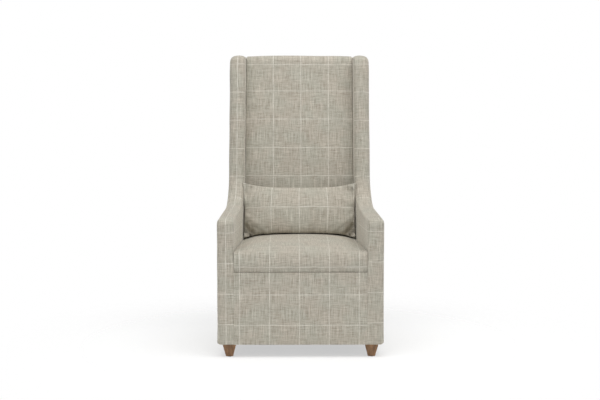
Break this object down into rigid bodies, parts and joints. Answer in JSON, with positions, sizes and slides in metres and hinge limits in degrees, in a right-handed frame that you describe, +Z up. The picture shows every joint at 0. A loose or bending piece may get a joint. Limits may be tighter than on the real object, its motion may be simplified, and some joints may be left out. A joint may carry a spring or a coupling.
{
  "type": "host chair",
  "caption": "Tall fully upholstered host chair with low arms scooping up into wings, a tight seat, short tapered wood feet and a loose lumbar pillow, in a windowpane check.",
  "frame": {"origin": "on the floor, under the middle of the chair's overall box", "axes": "+Z up, -Y towards the chair's front, +X to the right as seen from the front"},
  "size_m": [0.6944, 0.7181, 1.285],
  "materials": {
    "cover_fabric": "woven windowpane check, matt",
    "pillow_fabric": "woven windowpane check, matt",
    "pillow_filling": "fibre filling in plain ticking",
    "foam": "open-cell foam under polyester wrap",
    "felt": "needled felt",
    "webbing": "jute webbing",
    "dust_cloth": "black cambric",
    "frame_wood": "planed hardwood",
    "plywood": "plain plywood",
    "foot_wood": "stained, satin lacquer",
    "spring_steel": "drawn wire",
    "zinc_steel": "zinc plated",
    "nylon": "moulded"
  },
  "bodies": {
    "chair": {"apron_board": "plywood", "apron_cover": "cover_fabric", "apron_padding": "foam", "arm_rail_left": "frame_wood", "arm_rail_right": "frame_wood", "arm_wing_padding_left": "foam", "arm_wing_padding_right": "foam", "back_foam": "foam", "back_lower_rail": "frame_wood", "back_lumbar_rail": "frame_wood", "back_post_left": "frame_wood", "back_post_right": "frame_wood", "back_top_rail": "frame_wood", "back_webbing": "webbing", "base_back_rail": "frame_wood", "base_front_rail": "frame_wood", "base_side_rail_left": "frame_wood", "base_side_rail_right": "frame_wood", "corner_block_front_left": "frame_wood", "corner_block_front_right": "frame_wood", "corner_block_rear_left": "frame_wood", "corner_block_rear_right": "frame_wood", "corner_block_screws": "zinc_steel", "dust_cover": "dust_cloth", "foot_front_left": "foot_wood", "foot_front_right": "foot_wood", "foot_glides": "nylon", "foot_hanger_bolts": "zinc_steel", "foot_insert_nuts": "zinc_steel", "foot_rear_left": "foot_wood", "foot_rear_right": "foot_wood", "frame_dowels": "frame_wood", "front_post_left": "frame_wood", "front_post_right": "frame_wood", "inside_arm_cover_left": "cover_fabric", "inside_arm_cover_right": "cover_fabric", "inside_back_cover": "cover_fabric", "outside_arm_cover_left": "cover_fabric", "outside_arm_cover_right": "cover_fabric", "outside_back_cover": "cover_fabric", "outside_back_padding": "foam", "seat_back_rail": "frame_wood", "seat_cover": "cover_fabric", "seat_foam": "foam", "seat_front_rail": "frame_wood", "seat_insulator": "felt", "seat_side_rail_left": "frame_wood", "seat_side_rail_right": "frame_wood", "seat_springs": "spring_steel", "spring_clips": "zinc_steel", "spring_tie_wires": "spring_steel", "wing_post_left": "frame_wood", "wing_post_right": "frame_wood", "wing_rail_left": "frame_wood", "wing_rail_right": "frame_wood"},
    "pillow": {"pillow_cover": "pillow_fabric", "pillow_insert": "pillow_filling"}
  },
  "joints": [
    {"name": "pillow_lift", "type": "slide", "parent": "chair", "child": "pillow", "axis": [0, -0.8, 0.6], "range_m": [0, 0.75]}
  ]
}
